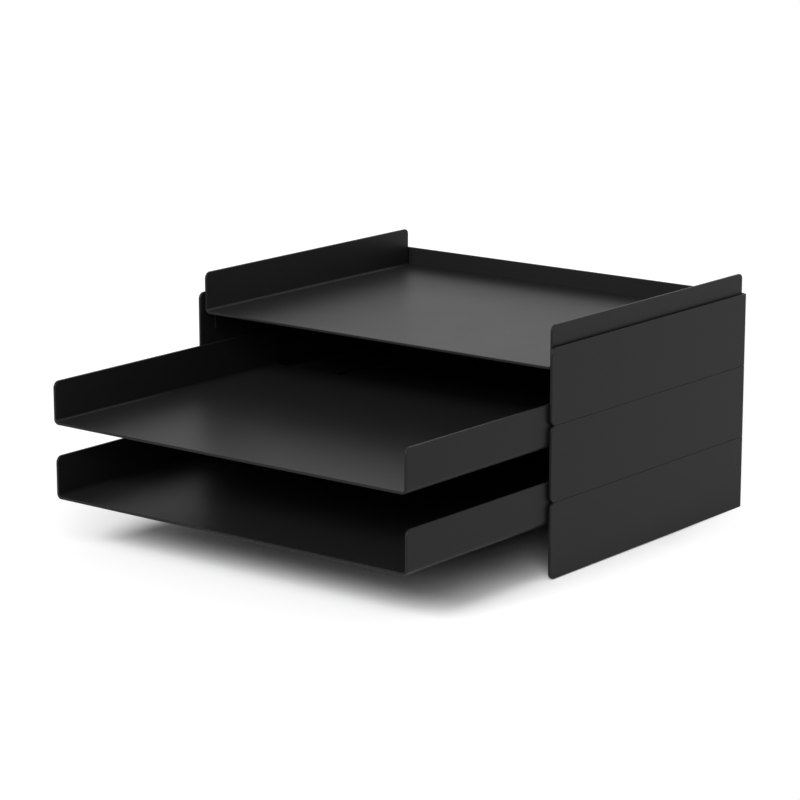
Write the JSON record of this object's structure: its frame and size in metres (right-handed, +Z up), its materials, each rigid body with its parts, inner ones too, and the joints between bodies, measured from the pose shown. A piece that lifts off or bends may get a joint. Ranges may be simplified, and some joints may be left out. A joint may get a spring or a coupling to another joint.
{
  "type": "desktop document organizer",
  "caption": "Stacked black sheet-steel document organizer: open-front racks, each with a shallow U-shaped tray that slides out forwards on a shelf.",
  "frame": {"origin": "on the desk, at the middle of the outline's bounding box with the middle and bottom trays drawn out as in the picture", "axes": "+Z up; the trays open towards -Y; +X is the right-hand side seen from the front"},
  "size_m": [0.33, 0.419, 0.1834],
  "materials": {
    "black_powder_coat": "satin fine-texture powder coat on bent sheet steel",
    "zinc_hardware": "zinc-plated steel",
    "black_screws": "black oxide steel",
    "glide_plastic": "smooth black low-friction polyethylene strip",
    "bush_plastic": "natural acetal, turned",
    "foot_rubber": "moulded black rubber"
  },
  "bodies": {
    "rack_stack": {"bottom_rack": "black_powder_coat", "bottom_shelf": "black_powder_coat", "bottom_left_glide_strip": "glide_plastic", "bottom_right_glide_strip": "glide_plastic", "middle_rack": "black_powder_coat", "middle_shelf": "black_powder_coat", "middle_left_glide_strip": "glide_plastic", "middle_right_glide_strip": "glide_plastic", "top_rack": "black_powder_coat", "top_shelf": "black_powder_coat", "top_left_glide_strip": "glide_plastic", "top_right_glide_strip": "glide_plastic", "lower_left_joining_plate": "black_powder_coat", "lower_right_joining_plate": "black_powder_coat", "lower_joining_screws": "black_screws", "upper_left_joining_plate": "black_powder_coat", "upper_right_joining_plate": "black_powder_coat", "upper_joining_screws": "black_screws", "left_foot_rail": "black_powder_coat", "right_foot_rail": "black_powder_coat", "front_left_foot": "foot_rubber", "front_right_foot": "foot_rubber", "rear_left_foot": "foot_rubber", "rear_right_foot": "foot_rubber"},
    "bottom_drawer": {"bottom_tray": "black_powder_coat", "bottom_guide_studs": "zinc_hardware", "bottom_guide_bushes": "bush_plastic", "bottom_guide_washers": "zinc_hardware", "bottom_guide_nuts": "zinc_hardware"},
    "middle_drawer": {"middle_tray": "black_powder_coat", "middle_guide_studs": "zinc_hardware", "middle_guide_bushes": "bush_plastic", "middle_guide_washers": "zinc_hardware", "middle_guide_nuts": "zinc_hardware"},
    "top_drawer": {"top_tray": "black_powder_coat", "top_guide_studs": "zinc_hardware", "top_guide_bushes": "bush_plastic", "top_guide_washers": "zinc_hardware", "top_guide_nuts": "zinc_hardware"}
  },
  "joints": [
    {"name": "bottom_tray_slide", "type": "slide", "parent": "rack_stack", "child": "bottom_drawer", "axis": [0, -1, 0], "range_m": [-0.1638, 0.001]},
    {"name": "middle_tray_slide", "type": "slide", "parent": "rack_stack", "child": "middle_drawer", "axis": [0, -1, 0], "range_m": [-0.1648, 0]},
    {"name": "top_tray_slide", "type": "slide", "parent": "rack_stack", "child": "top_drawer", "axis": [0, -1, 0], "range_m": [0, 0.1648]}
  ]
}
